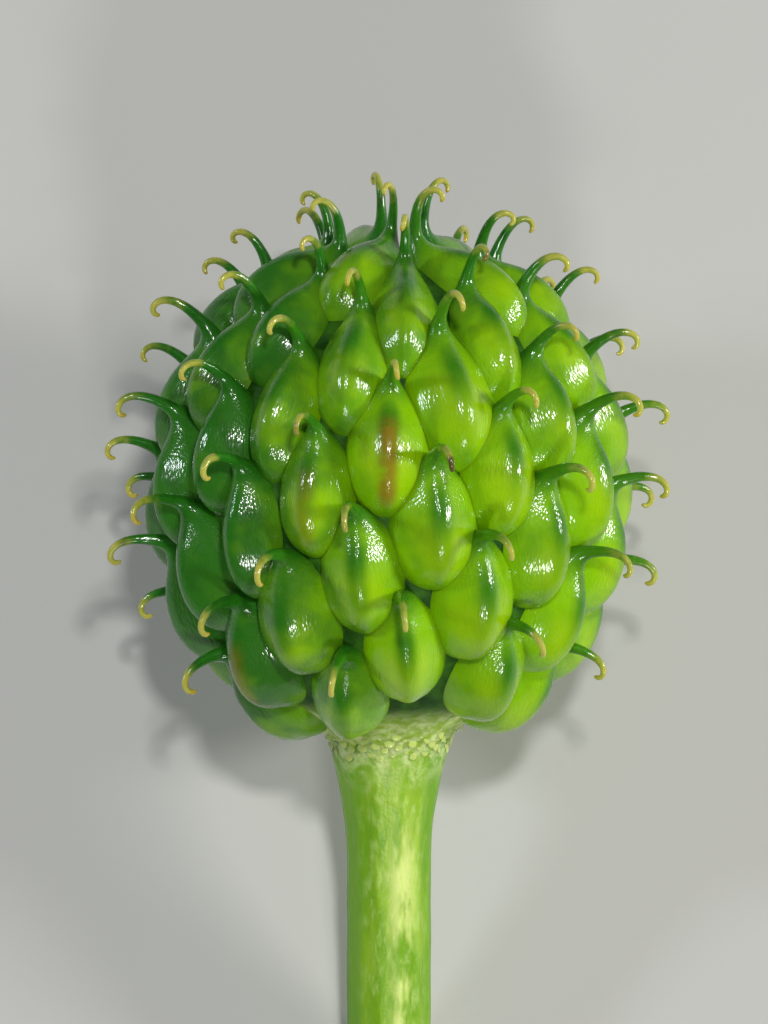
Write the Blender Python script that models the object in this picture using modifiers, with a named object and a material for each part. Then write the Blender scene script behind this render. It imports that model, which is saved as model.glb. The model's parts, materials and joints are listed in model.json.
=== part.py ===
"""A buttercup seed head on its cut stalk, lying on its side.

The head has an axis of its own: its middle is the origin there, and its apex is up +Z. Small dry
fruits, the achenes, sit on a spiral round a core, and each ends in a hooked beak. The whole head
and its stalk lie on the ground, Z = 0, with the apex towards +Y. They rest on the lowest beaks,
which their weight bends a little, and on the stalk's cut end. All sizes are in metres.
"""

import math
import random

import bmesh
import bpy
from mathutils import Matrix, Vector

MM = 0.001

# The head: an egg that the achenes' backs touch, and a smaller core inside them
HEAD_RADIUS = 3.54 * MM
HEAD_HALF_HEIGHT = 3.95 * MM
CORE_RADIUS = 3.00 * MM
CORE_HALF_HEIGHT = 3.55 * MM
CORE_SEGMENTS = 18
CORE_RINGS = 10

# The spiral of achenes from the stalk up to the apex, in shares of the head's half height. The
# lower achenes hang more upright than the egg's slope, by the lower tilt. The lowest place of the
# spiral is empty, because its fruit didn't set, so the stalk's collar shows there
ACHENE_COUNT = 74
EMPTY_PLACES = 1
GOLDEN_ANGLE = math.radians(137.508)
FIRST_ANGLE = math.radians(287.0)
LOWEST_SHARE = -0.86
HIGHEST_SHARE = 0.964
CROWDING = 0.88
LOWER_TILT = 0.75
SIZE_SPREAD = 0.06
TWIST_SPREAD = math.radians(9)
SEED = 7

# One achene: a flattened egg with a keel along its back and a narrow neck
ACHENE_HALF_HEIGHT = 1.10 * MM
ACHENE_HALF_THICKNESS = 0.67 * MM
ACHENE_HALF_DEPTH = 0.80 * MM
ACHENE_SEGMENTS = 8
ACHENE_RINGS = 5
KEEL_SHARPNESS = 0.28
TOP_TAPER = 0.16
NECK_TAPER = 0.42

# Its beak leaves the neck, bends outwards and curls up at the tip, faster and faster
BEAK_LENGTH = 1.40 * MM
BEAK_ROOT_RADIUS = 0.24 * MM
BEAK_TIP_RADIUS = 0.06 * MM
BEAK_TAPER_POWER = 0.6
BEAK_ROOT_DEPTH = 0.50 * MM
BEAK_ROOT_HEIGHT = 0.72 * MM
BEAK_START = math.radians(48)
BEAK_BEND = math.radians(50)
BEAK_CURL = math.radians(190)
BEAK_CURL_POWER = 6
BEAK_STEPS = 6
BEAK_STEP_SHRINK = 1.6

# The stalk: a stem, its flared top, and the receptacle that stands in the head's socket
STALK_RADIUS = 0.62 * MM
STALK_END = -9.00 * MM
FLARE_START = -5.60 * MM
COLLAR_TOP = -2.95 * MM
FLARE_TOP = -3.05 * MM
FLARE_RADIUS = 1.12 * MM
FLARE_STEPS = 6
RECEPTACLE_RADIUS = 0.88 * MM
RECEPTACLE_TOP = -1.60 * MM
RECEPTACLE_STEPS = 4
STALK_SIDES = 24
SOCKET_GAP = 0.10 * MM
SOCKET_BOTTOM = -8.00 * MM
MERGE_DISTANCE = 0.0001 * MM

# How it lies: the height of the head's middle, and how deep a bent beak beds on the ground. The
# beaks right under the middle are bent a little higher, so that the ones round them carry
RESTING_HEIGHT = 3.72 * MM
BEDDING_SHARE = 0.4
STANCE_RADIUS = 1.30 * MM
STANCE_RISE = 0.03 * MM

ACHENE_GREEN = (0.16, 0.38, 0.03, 1.0)
STALK_GREEN = (0.34, 0.55, 0.10, 1.0)
ACHENE_ROUGHNESS = 0.35
STALK_ROUGHNESS = 0.5


def clear_scene():
    """Remove the objects that the scene starts with."""
    for item in list(bpy.data.objects):
        bpy.data.objects.remove(item, do_unlink=True)


def new_collection(name):
    """Return a new collection that the scene shows."""
    collection = bpy.data.collections.new(name)
    bpy.context.scene.collection.children.link(collection)
    return collection


def new_material(name, colour, roughness):
    """Return a plain material of one colour."""
    material = bpy.data.materials.new(name)
    material.use_nodes = True
    shader = material.node_tree.nodes["Principled BSDF"]
    shader.inputs["Base Color"].default_value = colour
    shader.inputs["Roughness"].default_value = roughness
    shader.inputs["Metallic"].default_value = 0.0
    return material


def add_object(name, data, collection):
    """Return a new object that holds the mesh or curve."""
    item = bpy.data.objects.new(name, data)
    collection.objects.link(item)
    return item


def lying():
    """Return the matrix that lays the upright head down, with its middle over the origin.

    The lean is the one at which the stalk's lower rim just touches the ground.
    """
    reach = math.hypot(STALK_END, STALK_RADIUS)
    lean = math.asin(RESTING_HEIGHT / reach) - math.atan(STALK_RADIUS / -STALK_END)
    turned = Matrix.Rotation(lean - math.pi / 2, 4, "X")
    return Matrix.Translation((0.0, 0.0, RESTING_HEIGHT)) @ turned


def ball_mesh(name, segments, rings, shape):
    """Return a unit ball whose every point the function shape has moved to its place."""
    mesh = bpy.data.meshes.new(name)
    work = bmesh.new()
    bmesh.ops.create_uvsphere(work, u_segments=segments, v_segments=rings, radius=1.0)
    for vertex in work.verts:
        vertex.co = shape(vertex.co)
    work.to_mesh(mesh)
    work.free()
    return mesh


def achene_places():
    """Return each achene's frame and size: across is X, outwards is Y and towards the apex is Z."""
    draw = random.Random(SEED)
    places = []
    for index in range(ACHENE_COUNT):
        climbed = ((index + 0.5) / ACHENE_COUNT) ** CROWDING
        share = LOWEST_SHARE + (HIGHEST_SHARE - LOWEST_SHARE) * climbed
        waist = math.sqrt(1.0 - share * share)
        outer = Vector((HEAD_RADIUS * waist, 0.0, HEAD_HALF_HEIGHT * share))
        slope = max(share, share * LOWER_TILT)
        outward = Vector((waist / HEAD_RADIUS, 0.0, slope / HEAD_HALF_HEIGHT)).normalized()
        apexward = Vector((-outward.z, 0.0, outward.x))
        across = outward.cross(apexward)
        frame = Matrix((across, outward, apexward)).transposed().to_4x4()
        size = 1.0 + draw.uniform(-SIZE_SPREAD, SIZE_SPREAD)
        twist = Matrix.Rotation(draw.uniform(-TWIST_SPREAD, TWIST_SPREAD), 4, "Y")
        turn = Matrix.Rotation(FIRST_ANGLE + GOLDEN_ANGLE * index, 4, "Z")
        if index >= EMPTY_PLACES:
            places.append((turn @ Matrix.Translation(outer) @ frame @ twist, size))
    return places


def achene_point(point, size):
    """Move a unit ball's point to the achene, whose back is at Y = 0."""
    taper = 1.0 - TOP_TAPER * point.z - NECK_TAPER * max(point.z, 0.0) ** 2
    keel = 1.0 - KEEL_SHARPNESS * max(point.y, 0.0) ** 2
    across = point.x * ACHENE_HALF_THICKNESS * taper * keel
    outwards = (point.y * taper - 1.0) * ACHENE_HALF_DEPTH
    return Vector((across, outwards, point.z * ACHENE_HALF_HEIGHT)) * size


def beak_line(size):
    """Return the beak's centre line as (point, radius) pairs, closer together in its curl."""
    point = Vector((0.0, -BEAK_ROOT_DEPTH, BEAK_ROOT_HEIGHT))
    line = [(point * size, BEAK_ROOT_RADIUS * size)]
    reached = 0.0
    for index in range(BEAK_STEPS):
        along = 1.0 - (1.0 - (index + 1) / BEAK_STEPS) ** BEAK_STEP_SHRINK
        middle = (reached + along) / 2
        turn = BEAK_START + BEAK_BEND * middle + BEAK_CURL * middle ** BEAK_CURL_POWER
        heading = Vector((0.0, math.sin(turn), math.cos(turn)))
        point = point + heading * (along - reached) * BEAK_LENGTH
        tapered = along ** BEAK_TAPER_POWER
        radius = BEAK_ROOT_RADIUS + (BEAK_TIP_RADIUS - BEAK_ROOT_RADIUS) * tapered
        line.append((point * size, radius * size))
        reached = along
    return line


def bent_to_ground(line):
    """Press a beak that would reach below the ground flatter, until it only lies on it."""
    root = line[0][0].z
    point, radius = min(line, key=lambda item: item[0].z)
    lowest = point.z
    carrying = min(1.0, math.hypot(point.x, point.y) / STANCE_RADIUS)
    bed = radius * (1.0 - BEDDING_SHARE * carrying) + STANCE_RISE * (1.0 - carrying)
    if lowest >= bed:
        return line
    share = (root - bed) / (root - lowest)
    return [(Vector((point.x, point.y, root - (root - point.z) * share)), radius)
            for point, radius in line]


def beak_mesh(name, line):
    """Return one beak as a closed tapered tube along its line."""
    curve = bpy.data.curves.new(name, "CURVE")
    curve.dimensions = "3D"
    curve.bevel_depth = 1.0
    curve.bevel_resolution = 0
    curve.use_fill_caps = True
    spline = curve.splines.new("POLY")
    spline.points.add(len(line) - 1)
    for target, (point, radius) in zip(spline.points, line):
        target.co = (*point, 1.0)
        target.radius = radius
    guide = add_object(name, curve, bpy.context.scene.collection)
    graph = bpy.context.evaluated_depsgraph_get()
    mesh = bpy.data.meshes.new_from_object(guide.evaluated_get(graph))
    bpy.data.objects.remove(guide, do_unlink=True)
    work = bmesh.new()
    work.from_mesh(mesh)
    bmesh.ops.remove_doubles(work, verts=work.verts, dist=MERGE_DISTANCE)
    if work.calc_volume(signed=True) < 0.0:
        bmesh.ops.reverse_faces(work, faces=work.faces)
    work.to_mesh(mesh)
    work.free()
    return mesh


def apply_modifiers(item):
    """Turn the object into the plain mesh that its modifiers make."""
    graph = bpy.context.evaluated_depsgraph_get()
    item.data = bpy.data.meshes.new_from_object(item.evaluated_get(graph))
    item.modifiers.clear()


def fuse(item, pieces):
    """Join every object of the collection to the item, and remove the collection."""
    union = item.modifiers.new("fuse", "BOOLEAN")
    union.operation = "UNION"
    union.operand_type = "COLLECTION"
    union.collection = pieces
    apply_modifiers(item)
    for piece in list(pieces.objects):
        bpy.data.objects.remove(piece, do_unlink=True)
    bpy.data.collections.remove(pieces)


def cut_socket(head):
    """Cut the plain hole under the head that the receptacle stands in."""
    top = RECEPTACLE_TOP + SOCKET_GAP
    middle = Matrix.Translation((0.0, 0.0, (top + SOCKET_BOTTOM) / 2))
    radius = FLARE_RADIUS + SOCKET_GAP
    mesh = bpy.data.meshes.new("socket_cutter")
    work = bmesh.new()
    bmesh.ops.create_cone(
        work, cap_ends=True, segments=STALK_SIDES, radius1=radius, radius2=radius,
        depth=top - SOCKET_BOTTOM, matrix=lying() @ middle,
    )
    work.to_mesh(mesh)
    work.free()
    cutter = add_object("socket_cutter", mesh, bpy.context.scene.collection)
    cut = head.modifiers.new("socket", "BOOLEAN")
    cut.operation = "DIFFERENCE"
    cut.object = cutter
    apply_modifiers(head)
    bpy.data.objects.remove(cutter, do_unlink=True)


def linked_faces(start):
    """Return the set of all faces that shared edges link to the start."""
    found = {start}
    front = [start]
    while front:
        for edge in front.pop().edges:
            for face in edge.link_faces:
                if face not in found:
                    found.add(face)
                    front.append(face)
    return found


def finish_head(mesh):
    """Fill the hollows that fusing has sealed, and flatten what beds on the ground."""
    work = bmesh.new()
    work.from_mesh(mesh)
    topmost = max(work.verts, key=lambda vertex: vertex.co.z)
    skin = linked_faces(topmost.link_faces[0])
    inside = [face for face in work.faces if face not in skin]
    bmesh.ops.delete(work, geom=inside, context="FACES")
    for vertex in work.verts:
        vertex.co.z = max(vertex.co.z, 0.0)
    work.to_mesh(mesh)
    work.free()


def make_head(collection):
    """Fuse the core and every achene with its beak in one body, with a socket for the stalk."""
    lie = lying()

    def core_point(point):
        return lie @ Vector(
            (point.x * CORE_RADIUS, point.y * CORE_RADIUS, point.z * CORE_HALF_HEIGHT)
        )

    core = ball_mesh("core", CORE_SEGMENTS, CORE_RINGS, core_point)
    head = add_object("achene_head", core, collection)
    pieces = new_collection("achene_pieces")
    for index, (place, size) in enumerate(achene_places()):
        frame = lie @ place

        def body_point(point):
            return frame @ achene_point(point, size)

        body = ball_mesh(f"achene_{index}", ACHENE_SEGMENTS, ACHENE_RINGS, body_point)
        add_object(f"achene_{index}", body, pieces)
        line = [(frame @ point, radius) for point, radius in beak_line(size)]
        add_object(f"beak_{index}", beak_mesh(f"beak_{index}", bent_to_ground(line)), pieces)
    fuse(head, pieces)
    cut_socket(head)
    finish_head(head.data)
    head.data.materials.clear()
    head.data.materials.append(new_material("achene_green", ACHENE_GREEN, ACHENE_ROUGHNESS))
    return head


def stalk_outline():
    """Return the turned outline as (radius, height) points, from the receptacle to the cut."""
    outline = []
    for index in range(RECEPTACLE_STEPS + 1):
        angle = math.pi / 2 * index / RECEPTACLE_STEPS
        height = COLLAR_TOP + (RECEPTACLE_TOP - COLLAR_TOP) * math.cos(angle)
        outline.append((RECEPTACLE_RADIUS * math.sin(angle), height))
    outline.append((FLARE_RADIUS, COLLAR_TOP))
    for index in range(FLARE_STEPS + 1):
        along = index / FLARE_STEPS
        radius = STALK_RADIUS + (FLARE_RADIUS - STALK_RADIUS) * (1.0 - along) ** 2
        outline.append((radius, FLARE_TOP + (FLARE_START - FLARE_TOP) * along))
    outline.append((STALK_RADIUS, STALK_END))
    outline.append((0.0, STALK_END))
    return outline


def make_stalk(collection):
    """Turn the stem, its flare and the receptacle from one outline."""
    outline = [(radius, 0.0, height) for radius, height in stalk_outline()]
    edges = [(index, index + 1) for index in range(len(outline) - 1)]
    mesh = bpy.data.meshes.new("stalk")
    mesh.from_pydata(outline, edges, [])
    stalk = add_object("stalk", mesh, collection)
    screw = stalk.modifiers.new("turn", "SCREW")
    screw.axis = "Z"
    screw.steps = STALK_SIDES
    screw.render_steps = STALK_SIDES
    screw.use_merge_vertices = True
    screw.merge_threshold = MERGE_DISTANCE
    apply_modifiers(stalk)
    stalk.data.transform(lying())
    stalk.data.materials.append(new_material("stalk_green", STALK_GREEN, STALK_ROUGHNESS))
    return stalk


def centre_on_origin(items):
    """Move the parts along the ground until the middle of their box is over the origin."""
    points = [vertex.co for item in items for vertex in item.data.vertices]
    shift = Vector((0.0, 0.0, 0.0))
    for axis in (0, 1):
        places = [point[axis] for point in points]
        shift[axis] = -(min(places) + max(places)) / 2
    for item in items:
        item.data.transform(Matrix.Translation(shift))


def main():
    """Build the seed head."""
    clear_scene()
    collection = new_collection("buttercup_seed_head")
    centre_on_origin([make_head(collection), make_stalk(collection)])


main()
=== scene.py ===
# %% [markdown]
# # A young buttercup seed head
# When a buttercup has dropped its petals, a green ball of small fruits is left on the stalk. Each
# fruit is an achene: a flattened egg with a keel down its back, which narrows into a hooked beak.
# Some seventy of them sit edge to edge on a spiral round a core. This lesson dresses a plain
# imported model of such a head: it replaces the faceted solids with smooth pieces of the same form,
# and gives each piece the finish of living plant tissue. The head is only 7 mm across, so sizes
# are written in millimetres and turned into metres at the last step.

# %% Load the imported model
import math
import random

import bmesh
import bpy
import numpy as np
from mathutils import Matrix, Vector, noise
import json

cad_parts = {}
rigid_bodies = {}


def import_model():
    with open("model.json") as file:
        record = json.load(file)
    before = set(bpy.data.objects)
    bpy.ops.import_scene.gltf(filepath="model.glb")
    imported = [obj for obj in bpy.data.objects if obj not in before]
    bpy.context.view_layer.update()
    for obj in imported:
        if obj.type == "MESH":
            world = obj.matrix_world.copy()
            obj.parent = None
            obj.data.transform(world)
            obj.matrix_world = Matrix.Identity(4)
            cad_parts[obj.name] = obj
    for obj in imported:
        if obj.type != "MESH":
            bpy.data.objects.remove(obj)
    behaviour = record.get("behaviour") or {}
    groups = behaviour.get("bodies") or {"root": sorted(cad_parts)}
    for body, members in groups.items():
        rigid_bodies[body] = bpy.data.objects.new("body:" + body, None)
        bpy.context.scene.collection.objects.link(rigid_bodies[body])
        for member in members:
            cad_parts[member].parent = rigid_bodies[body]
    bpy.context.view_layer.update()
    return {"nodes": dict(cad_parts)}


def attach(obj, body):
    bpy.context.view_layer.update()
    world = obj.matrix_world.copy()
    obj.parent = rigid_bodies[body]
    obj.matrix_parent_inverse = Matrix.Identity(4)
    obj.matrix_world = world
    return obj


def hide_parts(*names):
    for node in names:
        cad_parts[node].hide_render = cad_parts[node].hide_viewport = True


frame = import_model()
MM = 0.001

# %% [markdown]
# ## Where the head lies
# The head grew upright, so its shapes are easiest to describe with the apex up. Here it lies on
# the ground: the ball rests on its lowest beaks, and the stalk on the edge of its cut end. The
# lean follows from those two supports. The stalk's cut end is a flat ring of points in the packed
# model, so the middle of the head is found by walking back up the axis from there.

# %% The lean of the axis and the middle of the head
STALK_RADIUS = 0.62
STALK_END = -9.00
RESTING_HEIGHT = 3.72
reach = math.hypot(STALK_END, STALK_RADIUS)
LEAN = math.asin(RESTING_HEIGHT / reach) - math.atan(STALK_RADIUS / -STALK_END)
AXIS = Vector((0.0, math.cos(LEAN), math.sin(LEAN)))


def head_middle():
    """Return the middle of the head, measured from the stalk's cut end."""
    points = [vertex.co for vertex in frame["nodes"]["stalk"].data.vertices]
    lowest = min(point.dot(AXIS) for point in points)
    ring = {tuple(round(x, 7) for x in point) for point in points
            if point.dot(AXIS) < lowest + 0.01 * MM}
    middle = sum((Vector(point) for point in ring), Vector()) / len(ring)
    return middle - AXIS * STALK_END * MM


MIDDLE = head_middle()
LYING = Matrix.Translation(MIDDLE) @ Matrix.Rotation(LEAN - math.pi / 2, 4, "X")
print("lean in degrees:", round(math.degrees(LEAN), 2), "middle in mm:", MIDDLE / MM)

# %% [markdown]
# ## The camera
# The photograph is a close-up of an upright head, seen a little from above its middle. The head
# lies down here, so the camera hangs above it and looks down, at the same angle to the axis. A
# long lens from some way off keeps the outline as flat as a macro lens does.

# %% Hang the camera above the head
FRAME_HEIGHT_PIXELS = 1024
FRAME_WIDTH_PIXELS = 768
PIXELS_PER_MM = 69.3
MIDDLE_PIXEL = (389.0, 491.6)
CAMERA_TILT = 0.207
CAMERA_DISTANCE = 160.0


def make_camera():
    """Add the camera so that the head's middle falls on its place in the picture."""
    over = Vector((0.0, -math.sin(LEAN), math.cos(LEAN)))
    back = over * math.cos(CAMERA_TILT) + AXIS * math.sin(CAMERA_TILT)
    up = AXIS * math.cos(CAMERA_TILT) - over * math.sin(CAMERA_TILT)
    right = up.cross(back)
    data = bpy.data.cameras.new("camera")
    data.sensor_width = 36.0
    data.lens = data.sensor_width * CAMERA_DISTANCE * PIXELS_PER_MM / FRAME_HEIGHT_PIXELS
    data.clip_start = 0.001
    data.clip_end = 10.0
    aside = (MIDDLE_PIXEL[0] - FRAME_WIDTH_PIXELS / 2) / PIXELS_PER_MM
    below = (MIDDLE_PIXEL[1] - FRAME_HEIGHT_PIXELS / 2) / PIXELS_PER_MM
    aim = MIDDLE - right * aside * MM + up * below * MM
    camera = bpy.data.objects.new("camera", data)
    turn = Matrix((right, up, back)).transposed().to_4x4()
    camera.matrix_world = Matrix.Translation(aim + back * CAMERA_DISTANCE * MM) @ turn
    bpy.context.scene.collection.objects.link(camera)
    bpy.context.scene.camera = camera
    print("lens in mm:", round(data.lens, 1))


make_camera()

# %% [markdown]
# ## Small helpers for node trees
# Materials and Geometry Nodes are both graphs. A few short functions keep each graph readable: one
# adds a node and fills its inputs with numbers or links, and the others name the nodes that are
# used most.

# %% Node helpers


def add_node(tree, kind, inputs=None, **settings):
    """Add a node, then set its settings and its inputs, by number or by name."""
    made = tree.nodes.new(kind)
    for name, value in settings.items():
        setattr(made, name, value)
    for name, value in (inputs or {}).items():
        if isinstance(value, bpy.types.NodeSocket):
            tree.links.new(value, made.inputs[name])
        else:
            made.inputs[name].default_value = value
    return made


def maths(tree, operation, *values, clamp=False):
    """Return the result of a Math node."""
    inputs = dict(enumerate(values))
    return add_node(tree, "ShaderNodeMath", inputs, operation=operation, use_clamp=clamp).outputs[0]


def vector_maths(tree, operation, *values):
    """Return the vector that a Vector Math node makes."""
    inputs = dict(enumerate(values))
    return add_node(tree, "ShaderNodeVectorMath", inputs, operation=operation).outputs[0]


def span(tree, value, start, end, low=0.0, high=1.0):
    """Return the value, stretched from start..end to low..high and held there, with soft ends."""
    inputs = {0: value, 1: start, 2: end, 3: low, 4: high}
    made = add_node(tree, "ShaderNodeMapRange", inputs, interpolation_type="SMOOTHSTEP")
    return made.outputs[0]


def mixed(tree, share, first, second):
    """Return the mix of two colours, with this share of the second."""
    inputs = {0: share, 6: first, 7: second}
    return add_node(tree, "ShaderNodeMix", inputs, data_type="RGBA").outputs[2]


def attribute(tree, name, output="Fac"):
    """Return a named value that the mesh carries at its points."""
    made = add_node(tree, "ShaderNodeAttribute", attribute_name=name)
    return made.outputs[output]


def noise_at(tree, place, scale, detail=2.0, roughness=0.5):
    """Return smooth random values, from about 0.3 to 0.7."""
    inputs = {"Vector": place, "Scale": scale, "Detail": detail, "Roughness": roughness}
    return add_node(tree, "ShaderNodeTexNoise", inputs).outputs["Fac"]


def new_material(name):
    """Return a new material with its tree and its surface shader."""
    material = bpy.data.materials.new(name)
    material.use_nodes = True
    return material, material.node_tree, material.node_tree.nodes["Principled BSDF"]


# %% [markdown]
# ## The finish of an achene
# The wall of a young achene is living tissue: light goes in, spreads and comes out again yellow
# green, and a thin waxy skin on top gives white, broken highlights. The keel and the neck are
# deeper green, and the beak dries from its tip, so it turns from green through straw to orange
# brown. An image could be wrapped round the achene, but rules are sharper at any distance: the
# mesh carries where each point is on its own achene, so one material can paint all of this on
# every achene, wherever it sits on the head.

# %% The colours of an achene
FRESH_GREEN = (0.23, 0.50, 0.001, 1.0)
# The colour of painted light, a yellow-green glowing patch.
PAINTED_GLOW_GREEN = (0.36, 0.60, 0.002, 1.0)
DEEP_GREEN = (0.030, 0.17, 0.010, 1.0)
KEEL_GREEN = (0.014, 0.145, 0.006, 1.0)
STRAW = (0.48, 0.44, 0.08, 1.0)
DRY_BROWN = (0.52, 0.30, 0.02, 1.0)
WITHERED_BROWN = (0.05, 0.03, 0.008, 1.0)
STAIN_BROWN = (0.28, 0.16, 0.010, 1.0)
# Painted shade across the head, from the lit right side to the left side.
PAINTED_SHADE_SIDE_X = -3.2
PAINTED_LIT_SIDE_X = 0.8
LOWER_SIDE_Y = 1.0
APEX_SIDE_Y = 3.6
PAINTED_SHADE_SHARE = 0.85
APEX_DEEP_SHARE = 0.45
# The share of painted shade in the gaps, on the inner side of each achene.
PAINTED_GAP_SHADE_SHARE = 0.55
TINT_SHARE = 0.30
CLOUD_SHARE = 0.14
CLOUDS_PER_MM = 1.8
# The share of the painted light on each achene.
PAINTED_GLOW_SHARE = 0.8


def wall_colour(tree, place, parts):
    """Return the colour of the body's wall, with painted light, a brighter yellow green, at its
    outer middle, strongest low down.

    The head's left side is painted in shade, deeper green than its right side. The achenes round
    its apex are deeper green too, and the inner side of each achene, down in the gaps, is painted
    in shade.
    """
    side = add_node(tree, "ShaderNodeSeparateXYZ", {
        0: add_node(tree, "ShaderNodeTexCoord").outputs["Object"],
    })
    # Painted shade: the head is painted deeper green from its lit right side towards its left side.
    painted_shade_and_apex = span(tree, side.outputs["X"], PAINTED_LIT_SIDE_X * MM, PAINTED_SHADE_SIDE_X * MM, 0.0, PAINTED_SHADE_SHARE)
    middle_y = MIDDLE.y / MM
    # Deeper green towards the apex of the head.
    apex_deep = span(tree, side.outputs["Y"], (middle_y + LOWER_SIDE_Y) * MM,
                 (middle_y + APEX_SIDE_Y) * MM, 0.0, APEX_DEEP_SHARE)
    painted_shade_and_apex = maths(tree, "MAXIMUM", painted_shade_and_apex, apex_deep)
    tinted = maths(tree, "MULTIPLY", attribute(tree, "tint"), TINT_SHARE)
    cloudy = span(tree, noise_at(tree, place, CLOUDS_PER_MM), 0.35, 0.65,
                  -CLOUD_SHARE, CLOUD_SHARE)
    # Painted shade: each achene is painted deeper green on its inner side, down in the gaps between
    # the achenes.
    painted_gap_shade = span(tree, parts["deep"], 0.25, -0.35, 0.0, PAINTED_GAP_SHADE_SHARE)
    uneven = maths(tree, "ADD", tinted, cloudy)
    # The painted shade and the real random tint together give the share of deep green.
    deep = maths(tree, "ADD", maths(tree, "ADD", painted_shade_and_apex, uneven), painted_gap_shade)
    colour = mixed(tree, span(tree, deep, 0.0, 1.0), FRESH_GREEN, DEEP_GREEN)
    # Painted light: a yellow-green glowing patch painted at the outer middle of each achene, low
    # down, on top of the real light that spreads in the skin, and weaker where painted shade falls.
    painted_glow = maths(tree, "MULTIPLY", span(tree, parts["deep"], 0.35, 0.75),
                 span(tree, attribute(tree, "rise"), 0.35, -0.25))
    lit = maths(tree, "SUBTRACT", painted_glow, deep, clamp=True)
    return mixed(tree, maths(tree, "MULTIPLY", lit, PAINTED_GLOW_SHARE), colour, PAINTED_GLOW_GREEN)


def keel_colour(tree, colour):
    """Return the colour with the deep green of the upper keel and the neck over it."""
    rise = attribute(tree, "rise")
    upper = span(tree, rise, -0.6, 0.35, 0.25, 0.95)
    keel = maths(tree, "MULTIPLY", attribute(tree, "keel"), upper)
    neck = span(tree, rise, 0.45, 1.02, 0.0, 0.75)
    return mixed(tree, maths(tree, "MAXIMUM", keel, neck), colour, KEEL_GREEN)


def beak_colour(tree, place, colour):
    """Return the colour with the beak drying from its tip: straw first, brown at the end."""
    wander = span(tree, noise_at(tree, place, 5.0), 0.3, 0.7, -0.08, 0.08)
    dried = maths(tree, "ADD", attribute(tree, "beak"), wander)
    colour = mixed(tree, span(tree, dried, 0.50, 0.88), colour, STRAW)
    colour = mixed(tree, span(tree, dried, 0.90, 1.04, 0.0, 0.6), colour, DRY_BROWN)
    withered = maths(tree, "MULTIPLY", attribute(tree, "withered"), span(tree, dried, 0.74, 0.90))
    return mixed(tree, withered, colour, WITHERED_BROWN)


def stained(tree, place, parts, colour):
    """Return the colour with a soft rusty streak down the lower keel of the marked achenes."""
    middle = span(tree, maths(tree, "ABSOLUTE", parts["half"]), 0.22, 0.04)
    outer = span(tree, parts["deep"], 0.30, 0.60)
    low = span(tree, attribute(tree, "rise"), 0.45, 0.05)
    cloudy = span(tree, noise_at(tree, place, 3.0, 3.0, 0.6), 0.22, 0.50)
    streak = maths(tree, "MULTIPLY", maths(tree, "MULTIPLY", middle, outer),
                   maths(tree, "MULTIPLY", low, cloudy))
    share = maths(tree, "MULTIPLY", streak, attribute(tree, "stain"))
    return mixed(tree, share, colour, STAIN_BROWN)


# %% [markdown]
# A highlight on living skin is never smooth. The cells stand in rows and each bulges a little, so
# they break a highlight into sparkles, and shallow wrinkles along the achene split it into streaks.
# Two bump nodes in a row do this: one for the cells and one for the wrinkles.

# %% The achene skin
CELLS_PER_MM = 28.0
CELL_STRETCH = 0.34
CELL_HEIGHT = 0.005
WRINKLES_PER_MM = 5.0
WRINKLE_STRETCH = 0.16
WRINKLE_HEIGHT = 0.012
GRAIN_SHIFT = 37.0


def skin_bump(tree, place):
    """Return the normal of a skin of small cells in rows, with lengthwise wrinkles under them."""
    rows = vector_maths(tree, "MULTIPLY", place, (1.0, 1.0, CELL_STRETCH))
    cells = add_node(tree, "ShaderNodeTexVoronoi", {"Vector": rows, "Scale": CELLS_PER_MM})
    lengthwise = vector_maths(tree, "MULTIPLY", place, (1.0, 1.0, WRINKLE_STRETCH))
    wrinkles = noise_at(tree, lengthwise, WRINKLES_PER_MM, 2.0, 0.6)
    broad = add_node(tree, "ShaderNodeBump", {
        "Strength": 0.6, "Distance": WRINKLE_HEIGHT * MM, "Height": wrinkles,
    })
    small = add_node(tree, "ShaderNodeBump", {
        "Strength": 0.8, "Distance": CELL_HEIGHT * MM, "Normal": broad.outputs[0],
        "Height": maths(tree, "SUBTRACT", 1.0, cells.outputs["Distance"]),
    })
    return small.outputs[0]


def make_achene_skin():
    """Return the glossy, slightly see-through skin of the achenes."""
    material, tree, shader = new_material("achene_skin")
    shift = vector_maths(tree, "SCALE", attribute(tree, "tint", "Vector"))
    shift.node.inputs["Scale"].default_value = GRAIN_SHIFT
    grain = attribute(tree, "grain", "Vector")
    place = vector_maths(tree, "ADD", grain, shift)
    split = add_node(tree, "ShaderNodeSeparateXYZ", {0: grain})
    parts = {"half": split.outputs["X"], "deep": split.outputs["Y"]}
    colour = keel_colour(tree, wall_colour(tree, place, parts))
    colour = stained(tree, place, parts, beak_colour(tree, place, colour))
    bump = skin_bump(tree, place)
    tree.links.new(colour, shader.inputs["Base Color"])
    tree.links.new(bump, shader.inputs["Normal"])
    tree.links.new(bump, shader.inputs["Coat Normal"])
    tree.links.new(span(tree, noise_at(tree, place, 9.0), 0.35, 0.65, 0.26, 0.44),
                   shader.inputs["Roughness"])
    shader.inputs["Subsurface Weight"].default_value = 0.35
    shader.inputs["Subsurface Radius"].default_value = (0.45, 1.0, 0.05)
    shader.inputs["Subsurface Scale"].default_value = 0.30 * MM
    shader.inputs["Specular IOR Level"].default_value = 0.1
    shader.inputs["Coat Weight"].default_value = 0.8
    shader.inputs["Coat Roughness"].default_value = 0.13
    return material


ACHENE_SKIN = make_achene_skin()
print("achene skin:", len(ACHENE_SKIN.node_tree.nodes), "nodes")

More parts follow.
